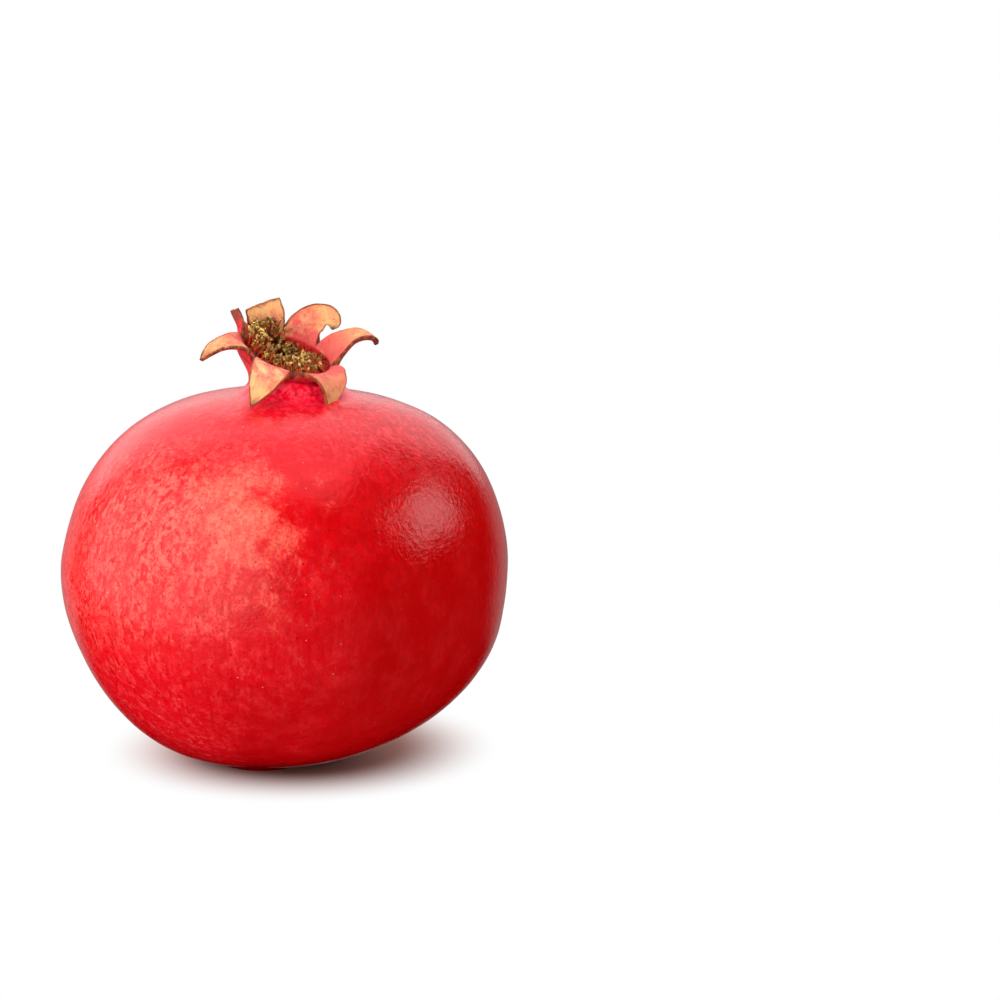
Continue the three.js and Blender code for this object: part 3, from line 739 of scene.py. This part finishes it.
def floor_material():
    graph = Graph("floor")
    graph.shader.inputs["Base Color"].default_value = PAINTED_SHADOW_COLOUR
    graph.shader.inputs["Roughness"].default_value = 0.9
    graph.shader.inputs["Specular IOR Level"].default_value = 0.1
    away = graph.vectors("DISTANCE", graph.place, PAINTED_SHADOW_MIDDLE, "Value")
    white = graph.add("ShaderNodeEmission", {"Color": (1, 1, 1, 1), "Strength": 1.0}).outputs[0]
    # Painted shadow: the warm grey patch darkens the floor under the fruit and fades to white
    painted_shadow = graph.shader.outputs[0]
    blend = graph.add("ShaderNodeMixShader", {0: graph.ramp(away, *PAINTED_SHADOW_FADE), 1: painted_shadow, 2: white})
    graph.feed(graph.tree.nodes["Material Output"].inputs["Surface"], blend.outputs[0])
    return graph.material


sides = ((-1, -1), (1, -1), (1, 1), (-1, 1))
corners = [(x * FLOOR_HALF_WIDTH, y * FLOOR_HALF_WIDTH, 0) for x, y in sides]
floor_mesh = bpy.data.meshes.new("floor")
floor_mesh.from_pydata(corners, [], [(0, 1, 2, 3)])
floor_mesh.materials.append(floor_material())
floor = bpy.data.objects.new("floor", floor_mesh)
bpy.context.scene.collection.objects.link(floor)
floor.visible_glossy = False

# Surroundings: white to the camera, an even fill for the fruit, and no gloss from them
FILL = 0.58
world = bpy.data.worlds.new("studio")
bpy.context.scene.world = world
world.use_nodes = True
backdrop = world.node_tree.nodes["Background"]
backdrop.inputs["Color"].default_value = (1, 1, 1, 1)
seen = world.node_tree.nodes.new("ShaderNodeLightPath")
strength = world.node_tree.nodes.new("ShaderNodeMath")
strength.operation = "MULTIPLY_ADD"
strength.inputs[1].default_value = FILL
world.node_tree.links.new(seen.outputs["Is Diffuse Ray"], strength.inputs[0])
world.node_tree.links.new(seen.outputs["Is Camera Ray"], strength.inputs[2])
world.node_tree.links.new(strength.outputs[0], backdrop.inputs["Strength"])


def soft_light(name, place, size, power, aim=(0, 0, 0.045), shape="RECTANGLE", reflected=True, spread=180):
    """A flat light at a place in metres, turned to its aim, that spreads by an angle in degrees."""
    data = bpy.data.lights.new(name, "AREA")
    data.shape = shape
    data.size, data.size_y = size
    data.energy = power
    data.spread = rad(spread)
    light = bpy.data.objects.new(name, data)
    light.location = place
    light.rotation_euler = (Vector(aim) - Vector(place)).to_track_quat("-Z", "Y").to_euler()
    light.visible_glossy = reflected
    bpy.context.scene.collection.objects.link(light)


# Lights: a large bright left side, soft boxes above and behind, a small window and the crown's own
soft_light("left_wall", (-0.74, -0.2, 0.54), (2.5, 1.6), 8.2, (-0.04, 0.22, 0.54), shape="ELLIPSE")
soft_light("left_fill", (-0.9, -0.4, 0.45), (1.4, 1.4), 6, reflected=False)
soft_light("left_glow", (-0.8, -0.2, 0.3), (2.7, 2.3), 3, (-0.1, 0.22, 0.3), shape="ELLIPSE")
soft_light("top_box", (0.0, -0.02, 0.95), (0.9, 0.7), 1.3)
soft_light("overhead_fill", (0.1, -0.2, 1.2), (0.8, 0.8), 5, reflected=False)
soft_light("back_box", (0.0, 0.95, 0.72), (2.1, 1.3), 9.5)
soft_light("back_glow", (0.0, 1.1, -0.1), (2.2, 0.7), 1.4, (0, 0, -0.1))
soft_light("right_window", (0.51, 0.0, 0.315), (0.27, 0.23), 0.45)
soft_light("crown_light", (-0.12, -0.45, 0.2), (0.03, 0.03), 0.006, (0, 0, 0.092), reflected=False, spread=14)

# Camera, matched to the photograph, with the size of a pixel at the body's centre
PIXEL = 0.215 * MM
PICTURE_WIDTH = 1000
FRAME_MIDDLE = PICTURE_WIDTH / 2
BODY_AT_PIXEL = (280.75, 582.85)
DISTANCE = 0.72
ELEVATION = rad(13)
SENSOR = 36
centre = Vector(BODY_CENTRE * MM)
seen_up = Vector((0, math.sin(ELEVATION), math.cos(ELEVATION)))
aim = centre + Vector((1, 0, 0)) * (FRAME_MIDDLE - BODY_AT_PIXEL[0]) * PIXEL
aim += seen_up * (BODY_AT_PIXEL[1] - FRAME_MIDDLE) * PIXEL
lens = bpy.data.cameras.new("camera")
lens.sensor_width = SENSOR
lens.lens = SENSOR * DISTANCE / (PIXEL * PICTURE_WIDTH)
camera = bpy.data.objects.new("camera", lens)
camera.location = centre + DISTANCE * Vector((0, -math.cos(ELEVATION), math.sin(ELEVATION)))
camera.rotation_euler = (aim - camera.location).to_track_quat("-Z", "Y").to_euler()
bpy.context.scene.collection.objects.link(camera)
bpy.context.scene.camera = camera
bpy.context.scene.view_settings.view_transform = "Standard"
